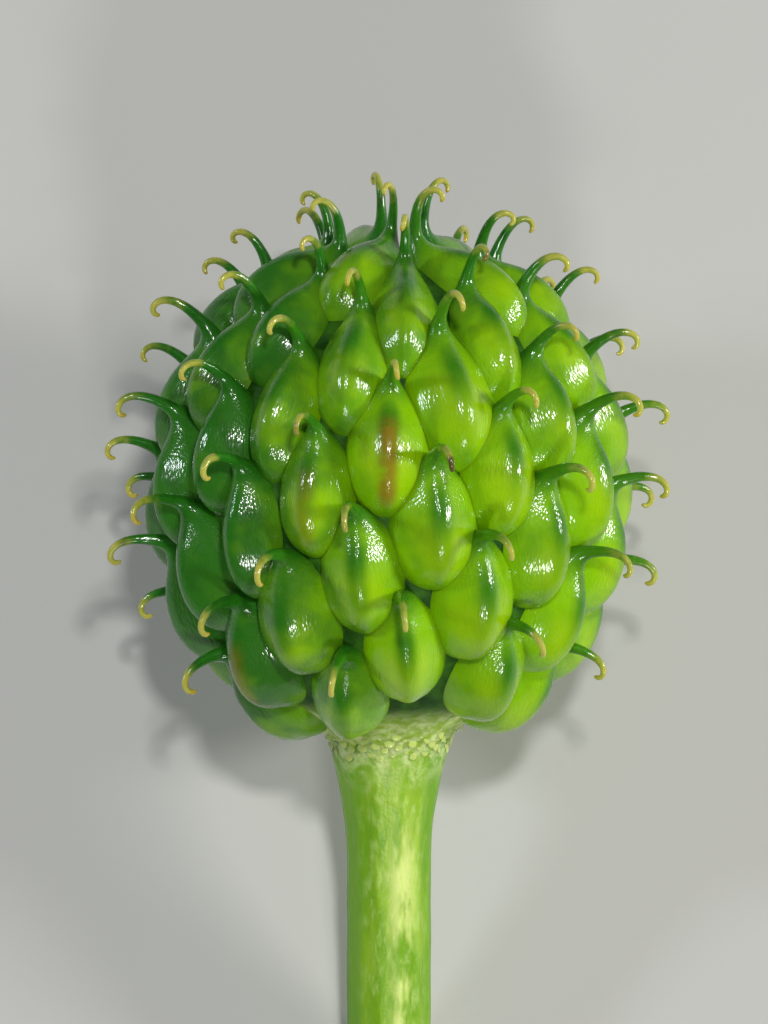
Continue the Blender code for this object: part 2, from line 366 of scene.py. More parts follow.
# %% [markdown]
# ## One achene
# An achene could be sculpted by hand, but its form follows a simple rule: a row of closed rings
# from the base to the tip of the beak. Low down each ring is a lens, thick in the middle, with a
# keel at the outer edge. Through the neck the lens shrinks to the round beak, and the beak bends
# outwards and curls up at its tip, faster and faster. Each ring is kept as two points on the
# outline, one outside and one inside, and its thickness, and a smooth curve joins the body's rings
# to the beak's. X is across the achene, Y points outwards and Z to the apex of the head.

# %% Sizes of an achene in millimetres
HALF_HEIGHT = 1.10
HALF_THICKNESS = 0.67
HALF_DEPTH = 0.80
KEEL_SHARPNESS = 0.28
TOP_TAPER = 0.16
NECK_TAPER = 0.42
BODY_RINGS = 14
BODY_TOP_SHARE = 0.04
NECK_RINGS = 14
BEAK_RINGS = 20
RING_SIDES = 28
BEAK_LENGTH = 1.40
BEAK_ROOT = (-0.50, 0.72)
BEAK_ROOT_RADIUS = 0.20
BEAK_TIP_RADIUS = 0.036
BEAK_TAPER_POWER = 0.33
BEAK_START = math.radians(48)
BEAK_BEND = math.radians(50)
BEAK_CURL = math.radians(190)
BEAK_CURL_POWER = 6
BEAK_LINE_STEPS = 200
BEAK_STEP_SHRINK = 1.5
BEAK_FREE_SHARE = 0.34
BEAK_FLATNESS = 0.16
TIP_ROUNDING_SHARE = 0.94

# %% [markdown]
# No two achenes on a head are quite the same, so six kinds are made. They differ a little in
# width, in how far the beak curls, in its length, and in how far its tip leans to one side.

# %% Kinds of achene
KINDS = [
    {"width": 0.94, "curl": 14.0, "length": 1.00, "aside": 0.00},
    {"width": 0.85, "curl": 36.0, "length": 0.95, "aside": 0.10},
    {"width": 1.01, "curl": -8.0, "length": 1.03, "aside": -0.08},
    {"width": 0.90, "curl": 26.0, "length": 1.04, "aside": 0.13},
    {"width": 0.98, "curl": 2.0, "length": 0.92, "aside": -0.12},
    {"width": 0.80, "curl": 30.0, "length": 1.00, "aside": -0.04},
]


def body_row(share, width):
    """Return one ring of the body: outer and inner Y and Z, thickness, lens, beak, rise, aside."""
    taper = 1.0 - TOP_TAPER * share - NECK_TAPER * max(share, 0.0) ** 2
    waist = math.sqrt(max(0.0, 1.0 - share * share)) * taper
    depth = waist * HALF_DEPTH
    height = share * HALF_HEIGHT
    return [depth - HALF_DEPTH, height, -depth - HALF_DEPTH, height,
            waist * HALF_THICKNESS * width, 1.0, 0.0, share, 0.0]


def beak_rows(kind):
    """Return the beak's rings, from where it is free of the body to its tip."""
    steps = BEAK_LINE_STEPS
    curl = BEAK_CURL + math.radians(kind["curl"])
    line = [(BEAK_ROOT[0], BEAK_ROOT[1], BEAK_START)]
    for index in range(steps):
        along = (index + 0.5) / steps
        turn = BEAK_START + BEAK_BEND * along + curl * along ** BEAK_CURL_POWER
        step = BEAK_LENGTH * kind["length"] / steps
        y, z, _ = line[-1]
        line.append((y + math.sin(turn) * step, z + math.cos(turn) * step, turn))
    rows = []
    for index in range(BEAK_RINGS):
        done = 1.0 - (1.0 - index / BEAK_RINGS) ** BEAK_STEP_SHRINK
        along = BEAK_FREE_SHARE + (1.0 - BEAK_FREE_SHARE) * done
        y, z, turn = line[round(along * steps)]
        tapered = along ** BEAK_TAPER_POWER
        radius = BEAK_ROOT_RADIUS + (BEAK_TIP_RADIUS - BEAK_ROOT_RADIUS) * tapered
        past = max(0.0, (along - TIP_ROUNDING_SHARE) / (1.0 - TIP_ROUNDING_SHARE))
        radius *= math.sqrt(1.0 - past * past)
        down, outwards = -math.sin(turn) * radius, math.cos(turn) * radius
        across = radius * (1.0 - BEAK_FLATNESS * (1.0 - along))
        rows.append([y + outwards, z + down, y - outwards, z - down,
                     across, 0.0, along, 1.0, kind["aside"] * along * along])
    tip = line[-1]
    return rows, (kind["aside"], tip[0], tip[1])


def neck_rows(below, above):
    """Return rings on a smooth curve from the body's last two rings to the beak's first two."""
    below, above = np.array(below), np.array(above)

    def middle(row):
        return (row[0:2] + row[2:4]) / 2

    gap = np.linalg.norm(middle(above[0]) - middle(below[1]))
    leaving = (below[1] - below[0]) / np.linalg.norm(middle(below[1]) - middle(below[0])) * gap
    arriving = (above[1] - above[0]) / np.linalg.norm(middle(above[1]) - middle(above[0])) * gap
    rows = []
    for index in range(1, NECK_RINGS + 1):
        t = index / (NECK_RINGS + 1)
        rows.append(list(
            (2 * t ** 3 - 3 * t ** 2 + 1) * below[1] + (t ** 3 - 2 * t ** 2 + t) * leaving
            + (3 * t ** 2 - 2 * t ** 3) * above[0] + (t ** 3 - t ** 2) * arriving
        ))
    return rows


# %% [markdown]
# A ring turns a row of sizes into points. Its corners crowd together at the keel, where the form
# turns sharply. Beside the keel the skin dips a little, so that the keel stands up as a rim.

# %% Rings and the mesh
CORNER_CROWDING = 0.45
GROOVE_PLACE = 0.80
GROOVE_WIDTH = 0.10
GROOVE_DEPTH = 0.10
RIM_NARROWING = 0.16
KEEL_WIDTH = 0.08


def ring_points(row):
    """Return the ring's points, each with its place across, outwards, and on the keel."""
    outer_y, outer_z, inner_y, inner_z, thickness, lens, _, _, aside = row
    points = []
    for index in range(RING_SIDES):
        angle = 2 * math.pi * index / RING_SIDES
        angle += CORNER_CROWDING * math.cos(angle)
        across, outwards = math.cos(angle), math.sin(angle)
        out = max(outwards, 0.0)
        dip = GROOVE_DEPTH * math.exp(-((out - GROOVE_PLACE) / GROOVE_WIDTH) ** 2)
        narrow = KEEL_SHARPNESS * out ** 2 + RIM_NARROWING * out ** 8 + dip
        half = across * thickness * (1.0 - lens * narrow)
        share = (1.0 + outwards) / 2
        y = inner_y + (outer_y - inner_y) * share
        z = inner_z + (outer_z - inner_z) * share
        deep = math.hypot(outer_y - inner_y, outer_z - inner_z) / 2 * outwards
        keel = math.exp(-((1.0 - outwards) / KEEL_WIDTH) ** 2) * lens
        points.append(((aside + half, y, z), (half, deep), keel))
    return points


def achene_mesh(name, kind):
    """Return the mesh of one achene with its beak, and what its skin needs to know."""
    top_angle = math.acos(-BODY_TOP_SHARE)
    shares = [-math.cos(top_angle * (index + 1) / BODY_RINGS) for index in range(BODY_RINGS)]
    rows = [body_row(share, kind["width"]) for share in shares]
    beak, tip = beak_rows(kind)
    rows += neck_rows(rows[-2:], beak[:2]) + beak
    corners = [(0.0, -HALF_DEPTH, -HALF_HEIGHT)]
    grain, keel, along, rise = [(0.0, 0.0, -HALF_HEIGHT)], [0.0], [0.0], [-1.0]
    walked = -HALF_HEIGHT
    last = corners[0]
    for row in rows:
        here = (row[8], (row[0] + row[2]) / 2, (row[1] + row[3]) / 2)
        walked += math.dist(here, last)
        last = here
        for place, (half, deep), on_keel in ring_points(row):
            corners.append(place)
            grain.append((half, deep, walked))
            keel.append(on_keel)
            along.append(row[6])
            rise.append(row[7])
    corners.append(tip)
    grain.append((0.0, 0.0, walked))
    keel.append(0.0)
    along.append(1.0)
    rise.append(1.0)
    mesh = bpy.data.meshes.new(name)
    faces = ring_faces(len(rows), RING_SIDES)
    mesh.from_pydata([Vector(corner) * MM for corner in corners], [], faces)
    mesh.shade_smooth()
    mesh.attributes.new("grain", "FLOAT_VECTOR", "POINT").data.foreach_set(
        "vector", np.array(grain, np.float32).ravel())
    for title, values in (("keel", keel), ("beak", along), ("rise", rise)):
        mesh.attributes.new(title, "FLOAT", "POINT").data.foreach_set("value", values)
    return mesh


def ring_faces(count, sides):
    """Return the faces of a closed row of rings with a point at each end."""
    faces = []
    for side in range(sides):
        after = (side + 1) % sides
        faces.append((0, 1 + after, 1 + side))
        for ring in range(count - 1):
            start = 1 + ring * sides
            faces.append((start + side, start + after, start + sides + after, start + sides + side))
        start = 1 + (count - 1) * sides
        faces.append((start + side, start + after, start + sides))
    return faces


def point_outwards(mesh):
    """Turn every face of a closed mesh outwards."""
    work = bmesh.new()
    work.from_mesh(mesh)
    if work.calc_volume(signed=True) < 0.0:
        bmesh.ops.reverse_faces(work, faces=work.faces)
    work.to_mesh(mesh)
    work.free()


achene_kinds = bpy.data.collections.new("achene_kinds")
for number, kind in enumerate(KINDS):
    title = f"achene_kind_{number}"
    mesh = achene_mesh(title, kind)
    point_outwards(mesh)
    achene_kinds.objects.link(bpy.data.objects.new(title, mesh))
print(len(KINDS), "kinds of achene with", len(mesh.polygons), "faces each")

# %% [markdown]
# ## The spiral of achenes
# Achenes are laid down one after another, and each stands 137.5 degrees round the axis from the
# one before, the golden angle. This packs them evenly, like the seeds of a sunflower. It is a rule,
# so it is a task for Geometry Nodes: the object starts as loose points that carry the random size,
# twist and tint of each achene, and the tree works out each point's place on the egg-shaped head,
# turns an achene to face outwards there, and sets it down. The sizes of the head are the tree's
# named inputs. The lowest place of the spiral is empty, because its fruit didn't set, so the top
# of the stalk shows there.

# %% Random differences between the achenes
ACHENE_COUNT = 74
EMPTY_PLACES = 1
SIZE_SPREAD = 0.06
TWIST_SPREAD = math.radians(9)
SHAPE_SEED = 7
LOOKS_SEED = 11
STAINED = {47: 0.8, 10: 0.4, 39: 0.3}
WITHERED = {34: 0.9, 39: 0.5, 26: 0.4, 63: 0.7}


def achene_points():
    """Return a mesh of loose points, one for each achene, that carry its differences."""
    mesh = bpy.data.meshes.new("achenes")
    mesh.from_pydata([(0.0, 0.0, 0.0)] * (ACHENE_COUNT - EMPTY_PLACES), [], [])
    shape, looks = random.Random(SHAPE_SEED), random.Random(LOOKS_SEED)
    values = {"size": [], "twist": [], "tint": [], "kind": [], "stain": [],
              "withered": [], "number": []}
    for index in range(ACHENE_COUNT):
        values["size"].append(1.0 + shape.uniform(-SIZE_SPREAD, SIZE_SPREAD))
        values["twist"].append(shape.uniform(-TWIST_SPREAD, TWIST_SPREAD))
        values["tint"].append(looks.random())
        values["kind"].append(looks.randrange(len(KINDS)))
        values["stain"].append(STAINED.get(index, 0.0))
        values["withered"].append(WITHERED.get(index, 0.0))
        values["number"].append(index)
    for title, numbers in values.items():
        kind = "INT" if title in ("kind", "number") else "FLOAT"
        mesh.attributes.new(title, kind, "POINT").data.foreach_set("value", numbers[EMPTY_PLACES:])
    return mesh


# %% The tree that sets the achenes on the spiral


def new_tree(name, inputs):
    """Return a Geometry Nodes tree with named inputs, and the node that gives them."""
    tree = bpy.data.node_groups.new(name, "GeometryNodeTree")
    tree.interface.new_socket("Geometry", in_out="INPUT", socket_type="NodeSocketGeometry")
    for title, kind in inputs.items():
        tree.interface.new_socket(title, in_out="INPUT", socket_type="NodeSocket" + kind)
    tree.interface.new_socket("Geometry", in_out="OUTPUT", socket_type="NodeSocketGeometry")
    return tree, tree.nodes.new("NodeGroupInput").outputs


def named(tree, name, kind="FLOAT"):
    """Return a value that each point carries."""
    made = add_node(tree, "GeometryNodeInputNamedAttribute", {0: name}, data_type=kind)
    return made.outputs["Attribute"]


def place_round(tree, radius, angle, height):
    """Return the place at this radius, angle and height round the head's axis."""
    return add_node(tree, "ShaderNodeCombineXYZ", {
        0: maths(tree, "MULTIPLY", radius, maths(tree, "COSINE", angle)),
        1: maths(tree, "MULTIPLY", radius, maths(tree, "SINE", angle)),
        2: height,
    }).outputs[0]


def finish_tree(tree, geometry, given):
    """Realize the instances, lay them down, give them their finish and end the tree."""
    real = add_node(tree, "GeometryNodeRealizeInstances", {0: geometry}).outputs[0]
    laid = add_node(tree, "GeometryNodeTransform", {
        "Geometry": real, "Translation": given["Middle"], "Rotation": given["Turn"],
    }).outputs[0]
    done = add_node(tree, "GeometryNodeSetMaterial", {0: laid, "Material": given["Finish"]})
    end = tree.nodes.new("NodeGroupOutput")
    tree.links.new(done.outputs[0], end.inputs[0])


def spiral_tree():
    """Return the tree that places achenes on the egg-shaped head."""
    tree, given = new_tree("achene_spiral", {
        "Count": "Float", "Radius": "Float", "Half height": "Float", "Lowest share": "Float",
        "Highest share": "Float", "Crowding": "Float", "Lower tilt": "Float",
        "First angle": "Float", "Golden angle": "Float", "Middle": "Vector", "Turn": "Rotation",
        "Kinds": "Collection", "Finish": "Material",
    })
    index = named(tree, "number", "INT")
    climbed = maths(tree, "POWER", maths(tree, "DIVIDE", maths(tree, "ADD", index, 0.5),
                                         given["Count"]), given["Crowding"])
    rest = maths(tree, "SUBTRACT", given["Highest share"], given["Lowest share"])
    share = maths(tree, "ADD", given["Lowest share"], maths(tree, "MULTIPLY", climbed, rest))
    waist = maths(tree, "SQRT", maths(tree, "SUBTRACT", 1.0, maths(tree, "MULTIPLY", share, share)))
    angle = maths(tree, "ADD", given["First angle"],
                  maths(tree, "MULTIPLY", index, given["Golden angle"]))
    unit = place_round(tree, waist, angle, share)
    sizes = add_node(tree, "ShaderNodeCombineXYZ", {
        0: given["Radius"], 1: given["Radius"], 2: given["Half height"],
    }).outputs[0]
    place = vector_maths(tree, "MULTIPLY", unit, sizes)
    slope = maths(tree, "MAXIMUM", share, maths(tree, "MULTIPLY", share, given["Lower tilt"]))
    outward = vector_maths(tree, "DIVIDE", place_round(tree, waist, angle, slope), sizes)
    facing = add_node(tree, "FunctionNodeAxesToRotation", {0: outward, 1: (0.0, 0.0, 1.0)},
                      primary_axis="Y", secondary_axis="Z").outputs[0]
    twist = add_node(tree, "FunctionNodeAxisAngleToRotation",
                     {"Axis": (0.0, 1.0, 0.0), "Angle": named(tree, "twist")}).outputs[0]
    turn = add_node(tree, "FunctionNodeRotateRotation", {0: facing, 1: twist},
                    rotation_space="LOCAL").outputs[0]
    points = add_node(tree, "GeometryNodeSetPosition",
                      {"Geometry": given["Geometry"], "Position": place}).outputs[0]
    kinds = add_node(tree, "GeometryNodeCollectionInfo", {
        "Collection": given["Kinds"], "Separate Children": True, "Reset Children": True,
    }).outputs[0]
    sown = add_node(tree, "GeometryNodeInstanceOnPoints", {
        "Points": points, "Instance": kinds, "Pick Instance": True,
        "Instance Index": named(tree, "kind", "INT"), "Rotation": turn,
        "Scale": named(tree, "size"),
    }).outputs[0]
    finish_tree(tree, sown, given)
    return tree


def grown(name, mesh, tree, values):
    """Return a plain mesh object that holds what the tree makes of the mesh."""
    item = bpy.data.objects.new(name, mesh)
    bpy.context.scene.collection.objects.link(item)
    modifier = item.modifiers.new("grow", "NODES")
    modifier.node_group = tree
    for socket in tree.interface.items_tree:
        if socket.in_out == "INPUT" and socket.name in values:
            modifier[socket.identifier] = values[socket.name]
    graph = bpy.context.evaluated_depsgraph_get()
    item.data = bpy.data.meshes.new_from_object(item.evaluated_get(graph))
    item.modifiers.clear()
    return item


# %% Grow the achenes
HEAD_RADIUS = 3.54
HEAD_HALF_HEIGHT = 3.95
LOWEST_SHARE = -0.86
HIGHEST_SHARE = 0.964
CROWDING = 0.88
LOWER_TILT = 0.75
FIRST_ANGLE = math.radians(287.0)
GOLDEN_ANGLE = math.radians(137.508)
TURN = (LEAN - math.pi / 2, 0.0, 0.0)
achenes = grown("achenes", achene_points(), spiral_tree(), {
    "Count": float(ACHENE_COUNT),
    "Radius": HEAD_RADIUS * MM,
    "Half height": HEAD_HALF_HEIGHT * MM,
    "Lowest share": LOWEST_SHARE,
    "Highest share": HIGHEST_SHARE,
    "Crowding": CROWDING,
    "Lower tilt": LOWER_TILT,
    "First angle": FIRST_ANGLE,
    "Golden angle": GOLDEN_ANGLE,
    "Middle": MIDDLE,
    "Turn": TURN,
    "Kinds": achene_kinds,
    "Finish": ACHENE_SKIN,
})
for item in list(achene_kinds.objects):
    bpy.data.objects.remove(item, do_unlink=True)
bpy.data.collections.remove(achene_kinds)
print("achenes:", len(achenes.data.vertices), "points,",
      sum(len(face.vertices) - 2 for face in achenes.data.polygons), "triangles")

# %% [markdown]
# ## Beaks that carry the head
# The lowest beaks carry the weight of the head and bend until they lie on the ground. Gravity
# could be simulated, but the result is simple: a beak that would reach below the ground is pressed
# flatter, between its root and the ground. The body keeps its form, because the pressing grows
# from nothing at the beak's root to its full amount two fifths of the way along. The beaks right
# under the middle give way a little more, so that the ones round them carry the head.

# %% Press the lowest beaks down to the ground
FIRMING_SHARE = 0.40
ROOT_SHARE = BEAK_FREE_SHARE * 1.1
STANCE_RADIUS = 1.30
STANCE_RISE = 0.03


def press_beaks(mesh):
    """Press each beak that reaches below the ground, until it only lies on it."""
    places = np.empty(len(mesh.vertices) * 3)
    mesh.vertices.foreach_get("co", places)
    places = places.reshape(-1, 3)
    number = np.empty(len(places), np.int32)
    mesh.attributes["number"].data.foreach_get("value", number)
    along = np.empty(len(places))
    mesh.attributes["beak"].data.foreach_get("value", along)
    pressed = 0
    for index in range(EMPTY_PLACES, ACHENE_COUNT):
        mine = number == index
        heights = places[mine, 2]
        foot = places[mine][heights.argmin()]
        distance = math.hypot(foot[0] - MIDDLE.x, foot[1] - MIDDLE.y)
        bed = STANCE_RISE * MM * max(0.0, 1.0 - distance / (STANCE_RADIUS * MM))
        if foot[2] >= bed:
            continue
        root = places[mine & (along > 0.0) & (along < ROOT_SHARE), 2].mean()
        share = (root - bed) / (root - foot[2])
        flatter = np.where(heights < root, root - (root - heights) * share, heights)
        t = np.clip(along[mine] / FIRMING_SHARE, 0.0, 1.0)
        places[mine, 2] = heights + (flatter - heights) * t * t * (3 - 2 * t)
        pressed += 1
    places[:, 2] = np.maximum(places[:, 2], 0.0)
    mesh.vertices.foreach_set("co", places.astype(np.float32).ravel())
    mesh.update()
    return pressed


print("beaks pressed:", press_beaks(achenes.data))
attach(achenes, "root")
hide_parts("achene_head")

# %% [markdown]
# ## The core between the achenes
# Between neighbouring achenes the eye looks down into narrow, dark green gaps, where they join the
# core; the core's dark green there is painted shade. The core is a turned form: an egg with a round
# socket below, in which the top of the stalk stands. Its lower end narrows on a smooth curve until
# it meets the skin of the stalk, because on the plant both are one tissue. Turning an outline round
# an axis is the shortest way to make it, and the stalk uses the same function.

# %% Turn an outline round the axis


def turned(name, outline, sides, shape):
    """Turn (radius, height) points, in millimetres and from axis to axis, round the head's axis.

    The shape is a function that gives the real radius at a radius, an angle and a height.
    """
    corners = [Vector((0.0, 0.0, outline[0][1]))]
    for radius, height in outline[1:-1]:
        for side in range(sides):
            angle = 2 * math.pi * side / sides
            out = shape(radius, angle, height)
            corners.append(Vector((out * math.cos(angle), out * math.sin(angle), height)))
    corners.append(Vector((0.0, 0.0, outline[-1][1])))
    mesh = bpy.data.meshes.new(name)
    mesh.from_pydata(corners, [], ring_faces(len(outline) - 2, sides))
    mesh.attributes.new("grain", "FLOAT_VECTOR", "POINT").data.foreach_set(
        "vector", np.array(corners, np.float32).ravel())
    mesh.transform(LYING @ Matrix.Scale(MM, 4))
    mesh.shade_smooth()
    point_outwards(mesh)
    item = bpy.data.objects.new(name, mesh)
    bpy.context.scene.collection.objects.link(item)
    return item


# %% The core and its finish
CORE_RADIUS = 3.00
CORE_HALF_HEIGHT = 3.55
SOCKET_RADIUS = 0.85
SOCKET_TOP = -1.50
CORE_STEPS = 40
LIP_RADIUS = 1.50
LIP_BEND = (0.983, -3.427)
LIP_FOOT = (0.85, -3.68)
LIP_STEPS = 12
LIP_WARTS_PER_MM = 7.0
LIP_WART_HEIGHT = 0.050
LIP_WALL = 0.10
CORE_SIDES = 144


def core_outline():
    """Return the outline of the core, from its apex round to the top of its socket.

    Below, it narrows on a smooth curve until it meets the skin of the stalk.
    """
    mouth = math.pi - math.asin(LIP_RADIUS / CORE_RADIUS)
    angles = [mouth * index / CORE_STEPS for index in range(CORE_STEPS + 1)]
    outline = [(CORE_RADIUS * math.sin(a), CORE_HALF_HEIGHT * math.cos(a)) for a in angles]
    start, bend, foot = Vector(outline[-1]), Vector(LIP_BEND), Vector(LIP_FOOT)
    for index in range(1, LIP_STEPS + 1):
        t = index / LIP_STEPS
        outline.append(tuple(start * (1 - t) ** 2 + bend * 2 * t * (1 - t) + foot * t * t))
    outline += [(SOCKET_RADIUS, LIP_FOOT[1] + LIP_WALL), (SOCKET_RADIUS, SOCKET_TOP)]
    return outline + [(0.0, SOCKET_TOP)]


def warty(radius, angle, height):
    """Return the radius, raised at the warts of the core's narrow lower end."""
    if radius > LIP_RADIUS or radius <= SOCKET_RADIUS or height > 0.0:
        return radius
    place = Vector((math.cos(angle) * radius, math.sin(angle) * radius, height))
    return radius + noise.noise(place * LIP_WARTS_PER_MM) * LIP_WART_HEIGHT


# Painted shade for the core, where it shows in the gaps between the achenes.
PAINTED_GAP_SHADE_DARK = (0.008, 0.060, 0.002, 1.0)
PAINTED_GAP_SHADE_GREEN = (0.035, 0.14, 0.004, 1.0)
FLESH_GREEN = (0.32, 0.52, 0.04, 1.0)
FLESH_CREAM = (0.66, 0.80, 0.32, 1.0)


def make_core_skin():
    """Return the core's finish: painted shade, dark green, where it shows in the gaps between the
    achenes, which turns pale at the stalk.
    """
    material, tree, shader = new_material("core_skin")
    place = attribute(tree, "grain", "Vector")
    clouds = span(tree, noise_at(tree, place, 3.5, 3.0), 0.35, 0.65)
    # Painted shade: two dark greens, mixed at random, for the gaps between the achenes.
    colour = mixed(tree, clouds, PAINTED_GAP_SHADE_DARK, PAINTED_GAP_SHADE_GREEN)
    height = add_node(tree, "ShaderNodeSeparateXYZ", {0: place}).outputs["Z"]
    blotches = span(tree, noise_at(tree, place, 5.0, 4.0, 0.6), 0.36, 0.64)
    flesh = mixed(tree, blotches, FLESH_GREEN, FLESH_CREAM)
    colour = mixed(tree, span(tree, height, -2.75, -3.20), colour, flesh)
    tree.links.new(colour, shader.inputs["Base Color"])
    bump = add_node(tree, "ShaderNodeBump", {
        "Strength": 0.5, "Distance": 0.03 * MM, "Height": noise_at(tree, place, 12.0, 3.0),
    })
    tree.links.new(bump.outputs[0], shader.inputs["Normal"])
    shader.inputs["Roughness"].default_value = 0.55
    shader.inputs["Specular IOR Level"].default_value = 0.2
    shader.inputs["Subsurface Weight"].default_value = 0.25
    shader.inputs["Subsurface Radius"].default_value = (0.30, 0.60, 0.08)
    shader.inputs["Subsurface Scale"].default_value = 0.4 * MM
    return material


head_core = turned("head_core", core_outline(), CORE_SIDES, warty)
head_core.data.materials.append(make_core_skin())
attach(head_core, "root")
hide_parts("achene_head")
print("core:", len(head_core.data.polygons), "faces")

# %% [markdown]
# ## The stalk
# The stalk widens like a trumpet under the head and ends inside it in a small dome. Fine ribs run
# down it, and its skin is streaked lengthwise in paler and deeper green. Its left and right sides
# are painted in shade, deeper green, and a painted highlight in cream runs a little to the right of
# its middle. Round the top there is a pale, warty band where the petals and stamens stood.
# The outline is turned as before, and a small function lowers the surface between the ribs, so
# that the ribs are real and show in the outline. At the cut end the pale pith shows.

# %% The outline of the stalk in millimetres
RECEPTACLE_RADIUS = 0.88
RECEPTACLE_TOP = -1.60
COLLAR_TOP = -2.95
FLARE_RADIUS = 1.12
FLARE_TOP = -3.05
FLARE_START = -5.60
RIM_ROUNDING = 0.03
PITH_DEPTH = 0.04
RIB_COUNT = 13
RIB_DEPTH = 0.030
RIB_TWIST = 0.25
UNEVEN_HEIGHT = 0.012
COLLAR_MARGIN = 0.1
COLLAR_FADE = 1.0
WART_HEIGHT = 0.035
WARTS_PER_MM = 7.0
STALK_SIDES = 144
DOME_STEPS = 12
FLARE_STEPS = 30
STEM_STEPS = 46
PITH_SHARES = (0.85, 0.7, 0.5, 0.3, 0.12)


def stalk_outline():
    """Return the outline of the stalk, from the receptacle's top to the cut end."""
    outline = [(0.0, RECEPTACLE_TOP)]
    for index in range(1, DOME_STEPS + 1):
        angle = math.pi / 2 * index / DOME_STEPS
        height = COLLAR_TOP + (RECEPTACLE_TOP - COLLAR_TOP) * math.cos(angle)
        outline.append((RECEPTACLE_RADIUS * math.sin(angle), height))
    outline.append((FLARE_RADIUS - RIM_ROUNDING, COLLAR_TOP))
    outline.append((FLARE_RADIUS, COLLAR_TOP - RIM_ROUNDING))
    for index in range(FLARE_STEPS + 1):
        along = index / FLARE_STEPS
        radius = STALK_RADIUS + (FLARE_RADIUS - STALK_RADIUS) * (1.0 - along) ** 2
        outline.append((radius, FLARE_TOP + (FLARE_START - FLARE_TOP) * along))
    for index in range(1, STEM_STEPS):
        height = FLARE_START + (STALK_END - FLARE_START) * index / STEM_STEPS
        outline.append((STALK_RADIUS, height))
    outline += [(STALK_RADIUS, STALK_END), (STALK_RADIUS - RIM_ROUNDING, STALK_END)]
    for share in PITH_SHARES:
        outline.append((STALK_RADIUS * share, STALK_END + PITH_DEPTH))
    return outline + [(0.0, STALK_END + PITH_DEPTH)]


def ribbed(radius, angle, height):
    """Return the radius, lowered between the ribs and raised at the warts of the collar."""
    if height > COLLAR_TOP - 0.001 or height > STALK_END and radius < STALK_RADIUS * 0.9:
        return radius
    wave = 0.62 * math.cos(RIB_COUNT * angle + RIB_TWIST * height)
    wave += 0.26 * math.cos(8 * angle + 1.3) + 0.12 * math.cos(21 * angle - 0.4 * height)
    place = Vector((math.cos(angle) * radius, math.sin(angle) * radius, height))
    faded = (FLARE_TOP - height + COLLAR_MARGIN) / COLLAR_FADE
    collar = min(1.0, max(0.0, 1.0 - faded))
    wart = noise.noise(place * WARTS_PER_MM) * WART_HEIGHT * collar
    uneven = noise.noise(place * 1.3) * UNEVEN_HEIGHT
    return radius - RIB_DEPTH * (1.0 - wave) / 2 + min(wart, WART_HEIGHT) + uneven


# %% The finish of the stalk
PALE_GREEN = (0.36, 0.58, 0.03, 1.0)
FURROW_GREEN = (0.19, 0.41, 0.006, 1.0)
CREAM = (0.66, 0.80, 0.26, 1.0)
PITH = (0.62, 0.66, 0.36, 1.0)
PALE_COLLAR = (0.76, 0.86, 0.42, 1.0)
# Painted shade: the stalk's left and right sides are painted this deeper green, away from a lit
# middle at the X below.
PAINTED_SHADE_SIDE_GREEN = (0.13, 0.33, 0.004, 1.0)
PAINTED_LIT_MIDDLE_X = 0.08
# Painted highlight: a cream streak a little right of the stalk's middle, below the flare.
PAINTED_HIGHLIGHT_CREAM = (0.80, 0.90, 0.30, 1.0)
PAINTED_HIGHLIGHT_X = 0.20
STREAK_STRETCH = 0.30
CREAM_SHARE = 0.45
PAINTED_SIDE_SHADE_SHARE = 0.85
PAINTED_HIGHLIGHT_SHARE = 0.8
COLLAR_SHARE = 0.75


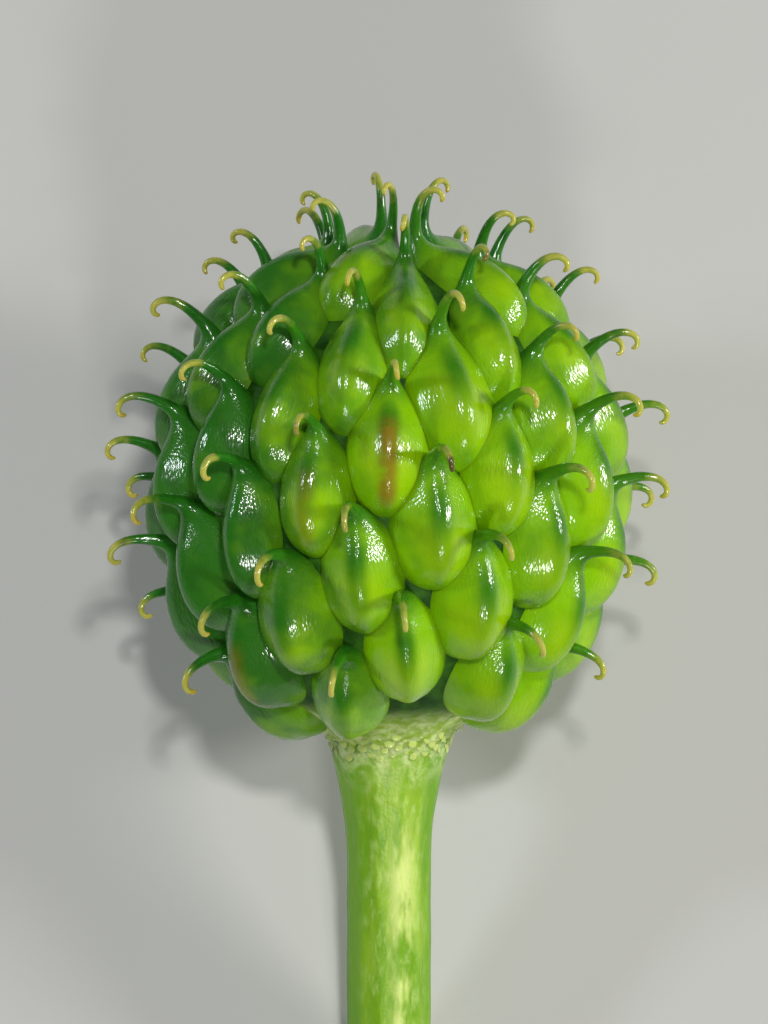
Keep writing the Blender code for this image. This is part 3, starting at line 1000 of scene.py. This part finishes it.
def make_stalk_skin():
    """Return the pale skin of the stalk, streaked lengthwise, with its pale collar and pith,
    painted shade on its left and right sides and a painted highlight in cream.
    """
    material, tree, shader = new_material("stalk_skin")
    place = attribute(tree, "grain", "Vector")
    parts = add_node(tree, "ShaderNodeSeparateXYZ", {0: place}).outputs
    height = parts["Z"]
    streaks = vector_maths(tree, "MULTIPLY", place, (1.0, 1.0, STREAK_STRETCH))
    bands = noise_at(tree, streaks, 2.6, 3.0, 0.6)
    fibres = noise_at(tree, streaks, 11.0, 3.0, 0.6)
    colour = mixed(tree, span(tree, bands, 0.34, 0.64), FURROW_GREEN, PALE_GREEN)
    creamy = maths(tree, "MULTIPLY", span(tree, fibres, 0.46, 0.72), CREAM_SHARE)
    colour = mixed(tree, creamy, colour, CREAM)
    blotches = noise_at(tree, place, 5.0, 4.0, 0.6)
    # Painted shade: deeper green towards the stalk's left and right sides.
    off_middle = maths(tree, "ABSOLUTE", maths(tree, "SUBTRACT", parts["X"], PAINTED_LIT_MIDDLE_X))
    side = span(tree, off_middle, 0.20, 0.60, 0.0, PAINTED_SIDE_SHADE_SHARE)
    colour = mixed(tree, side, colour, PAINTED_SHADE_SIDE_GREEN)
    # Painted highlight: a cream streak a little right of the middle, along the paler bands.
    off_painted_highlight = maths(tree, "ABSOLUTE", maths(tree, "SUBTRACT", parts["X"], PAINTED_HIGHLIGHT_X))
    painted_highlight = maths(tree, "MULTIPLY", span(tree, off_painted_highlight, 0.26, 0.05),
                  span(tree, bands, 0.38, 0.58))
    painted_highlight = maths(tree, "MULTIPLY", painted_highlight, span(tree, height, -4.4, -5.6, 0.0, PAINTED_HIGHLIGHT_SHARE))
    colour = mixed(tree, painted_highlight, colour, PAINTED_HIGHLIGHT_CREAM)
    collar = span(tree, height, -4.4, -3.5)
    pale = maths(tree, "MULTIPLY", collar, span(tree, blotches, 0.36, 0.64))
    colour = mixed(tree, maths(tree, "MULTIPLY", pale, COLLAR_SHARE), colour, PALE_COLLAR)
    inside = span(tree, height, STALK_END + 0.02, STALK_END + 0.035)
    away = vector_maths(tree, "MULTIPLY", place, (1.0, 1.0, 0.0))
    radius = add_node(tree, "ShaderNodeVectorMath", {0: away}, operation="LENGTH").outputs["Value"]
    cut = maths(tree, "MULTIPLY", span(tree, radius, STALK_RADIUS * 0.93, STALK_RADIUS * 0.84),
                span(tree, height, STALK_END + 0.5, STALK_END + 0.1))
    colour = mixed(tree, maths(tree, "MULTIPLY", cut, inside), colour, PITH)
    tree.links.new(colour, shader.inputs["Base Color"])
    grains = maths(tree, "MULTIPLY", noise_at(tree, place, 18.0, 2.0), 0.8)
    bumps = maths(tree, "ADD", fibres, grains)
    bump = add_node(tree, "ShaderNodeBump",
                    {"Strength": 0.6, "Distance": 0.02 * MM, "Height": bumps})
    tree.links.new(bump.outputs[0], shader.inputs["Normal"])
    tree.links.new(span(tree, fibres, 0.35, 0.65, 0.38, 0.58), shader.inputs["Roughness"])
    shader.inputs["Subsurface Weight"].default_value = 0.40
    shader.inputs["Subsurface Radius"].default_value = (0.45, 0.80, 0.15)
    shader.inputs["Subsurface Scale"].default_value = 0.35 * MM
    return material


stalk_skin = turned("stalk_skin", stalk_outline(), STALK_SIDES, ribbed)
stalk_skin.data.materials.append(make_stalk_skin())
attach(stalk_skin, "root")
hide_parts("stalk")
print("stalk:", len(stalk_skin.data.polygons), "faces")

# %% [markdown]
# ## The scars of the stamens
# Before the fruits swelled, dozens of stamens stood round the collar, on the same kind of spiral.
# Each one left a small pale scar when it fell. They repeat by a rule, so a second tree grows them:
# it spreads points over the band and gives each one a flattened ball that faces outwards. A scar
# is moist, so it shines more than the skin round it.

# %% Grow the scars of the stamens
SCAR_COUNT = 110
SCAR_RADIUS = 0.060
SCAR_FLATNESS = 0.15
SCAR_TOP = -3.36
SCAR_BOTTOM = -3.78
SMALLEST_SCAR = 0.45
LARGEST_SCAR = 1.35
BAND_TOP = -3.25
BAND_TOP_RADIUS = 1.29
BAND_FOOT = -3.80
BAND_FOOT_RADIUS = 0.87


def scar_tree():
    """Return the tree that spreads scars round the collar, which widens upwards."""
    tree, given = new_tree("stamen_scars", {
        "Count": "Float", "Top": "Float", "Bottom": "Float", "Golden angle": "Float",
        "Foot radius": "Float", "Top radius": "Float", "Band top": "Float",
        "Band foot": "Float", "Scar radius": "Float", "Flatness": "Float",
        "Middle": "Vector", "Turn": "Rotation", "Finish": "Material",
    })
    index = add_node(tree, "GeometryNodeInputIndex").outputs[0]
    angle = maths(tree, "MULTIPLY", index, given["Golden angle"])
    done = maths(tree, "DIVIDE", index, given["Count"])
    drop = maths(tree, "MULTIPLY", done, maths(tree, "SUBTRACT", given["Bottom"], given["Top"]))
    height = maths(tree, "ADD", given["Top"], drop)
    left = maths(tree, "DIVIDE", maths(tree, "SUBTRACT", height, given["Band foot"]),
                 maths(tree, "SUBTRACT", given["Band top"], given["Band foot"]))
    widening = maths(tree, "MULTIPLY", maths(tree, "POWER", left, 2.0),
                     maths(tree, "SUBTRACT", given["Top radius"], given["Foot radius"]))
    radius = maths(tree, "ADD", given["Foot radius"], widening)
    outward = place_round(tree, 1.0, angle, 0.0)
    points = add_node(tree, "GeometryNodeSetPosition", {
        "Geometry": given["Geometry"], "Position": place_round(tree, radius, angle, height),
    }).outputs[0]
    ball = add_node(tree, "GeometryNodeMeshIcoSphere", {"Radius": 1.0, "Subdivisions": 2})
    smooth = add_node(tree, "GeometryNodeSetShadeSmooth", {"Geometry": ball.outputs[0]}).outputs[0]
    facing = add_node(tree, "FunctionNodeAxesToRotation", {0: outward, 1: (0.0, 0.0, 1.0)},
                      primary_axis="X", secondary_axis="Z").outputs[0]
    size = maths(tree, "MULTIPLY", given["Scar radius"], named(tree, "size"))
    thick = maths(tree, "MULTIPLY", size, given["Flatness"])
    scale = add_node(tree, "ShaderNodeCombineXYZ", {0: thick, 1: size, 2: size}).outputs[0]
    spread = add_node(tree, "GeometryNodeInstanceOnPoints", {
        "Points": points, "Instance": smooth, "Rotation": facing, "Scale": scale,
    }).outputs[0]
    finish_tree(tree, spread, given)
    return tree


def make_scar_skin():
    """Return the pale, moist finish of a fresh scar."""
    material, _, shader = new_material("scar_skin")
    shader.inputs["Base Color"].default_value = (0.54, 0.72, 0.17, 1.0)
    shader.inputs["Roughness"].default_value = 0.22
    shader.inputs["Subsurface Weight"].default_value = 0.4
    shader.inputs["Subsurface Radius"].default_value = (0.45, 0.80, 0.25)
    shader.inputs["Subsurface Scale"].default_value = 0.2 * MM
    return material


def scar_points():
    """Return a mesh of loose points, one for each scar, that carry its size."""
    mesh = bpy.data.meshes.new("stamen_scars")
    mesh.from_pydata([(0.0, 0.0, 0.0)] * SCAR_COUNT, [], [])
    draw = random.Random(LOOKS_SEED)
    sizes = [draw.uniform(SMALLEST_SCAR, LARGEST_SCAR) for _ in range(SCAR_COUNT)]
    mesh.attributes.new("size", "FLOAT", "POINT").data.foreach_set("value", sizes)
    return mesh


stamen_scars = grown("stamen_scars", scar_points(), scar_tree(), {
    "Count": float(SCAR_COUNT),
    "Top": SCAR_TOP * MM,
    "Bottom": SCAR_BOTTOM * MM,
    "Golden angle": GOLDEN_ANGLE,
    "Foot radius": BAND_FOOT_RADIUS * MM,
    "Top radius": BAND_TOP_RADIUS * MM,
    "Band top": BAND_TOP * MM,
    "Band foot": BAND_FOOT * MM,
    "Scar radius": SCAR_RADIUS * MM,
    "Flatness": SCAR_FLATNESS,
    "Middle": MIDDLE,
    "Turn": TURN,
    "Finish": make_scar_skin(),
})
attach(stamen_scars, "root")
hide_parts("stalk")
print("scars:", len(stamen_scars.data.polygons), "faces")

# %% [markdown]
# ## Floor and light
# The head lies on a plain pale floor. Like the close-up in the photograph it is lit from both
# sides of the lens: a strong soft light low on the right, a weaker and cooler one on the left, and
# a small one near the camera, which draws the narrow highlights on the nearest achenes. A fourth
# one, past the cut end, lights the collar under the head.

# %% The floor
FLOOR_HALF_WIDTH = 0.6
FLOOR_COLOUR = (0.54, 0.535, 0.52, 1.0)


def make_floor():
    """Add the pale floor, which is not part of the object."""
    mesh = bpy.data.meshes.new("floor")
    half = FLOOR_HALF_WIDTH
    mesh.from_pydata([(-half, -half, 0.0), (half, -half, 0.0), (half, half, 0.0),
                      (-half, half, 0.0)], [], [(0, 1, 2, 3)])
    floor = bpy.data.objects.new("floor", mesh)
    bpy.context.scene.collection.objects.link(floor)
    material, _, shader = new_material("pale_floor")
    shader.inputs["Base Color"].default_value = FLOOR_COLOUR
    shader.inputs["Roughness"].default_value = 0.7
    shader.inputs["Specular IOR Level"].default_value = 0.2
    mesh.materials.append(material)


make_floor()

# %% The lights


def add_light(name, direction, distance, size, power, colour):
    """Add a round soft light that looks at the head from the given direction."""
    data = bpy.data.lights.new(name, "AREA")
    data.shape = "DISK"
    data.size = size * MM
    data.energy = power
    data.color = colour
    light = bpy.data.objects.new(name, data)
    back = Vector(direction).normalized()
    light.location = MIDDLE + back * distance * MM
    light.rotation_mode = "QUATERNION"
    light.rotation_quaternion = back.to_track_quat("Z", "Y")
    bpy.context.scene.collection.objects.link(light)


add_light("key_light", (0.91, 0.08, 0.38), 120, 27, 0.086, (1.0, 0.98, 0.94))
add_light("left_light", (-0.84, 0.20, 0.50), 130, 21, 0.046, (0.88, 0.95, 1.0))
add_light("lens_light", (0.10, 0.10, 1.0), 140, 12, 0.082, (1.0, 1.0, 0.97))
add_light("stalk_light", (0.15, -0.80, 0.62), 140, 20, 0.054, (1.0, 1.0, 0.97))

SKY_COLOUR = (0.92, 0.96, 1.0, 1.0)
SKY_STRENGTH = 0.06
world = bpy.data.worlds.new("studio")
world.use_nodes = True
world.node_tree.nodes["Background"].inputs["Color"].default_value = SKY_COLOUR
world.node_tree.nodes["Background"].inputs["Strength"].default_value = SKY_STRENGTH
bpy.context.scene.world = world
bpy.context.scene.view_settings.view_transform = "Standard"

# %% Import the json module
import json
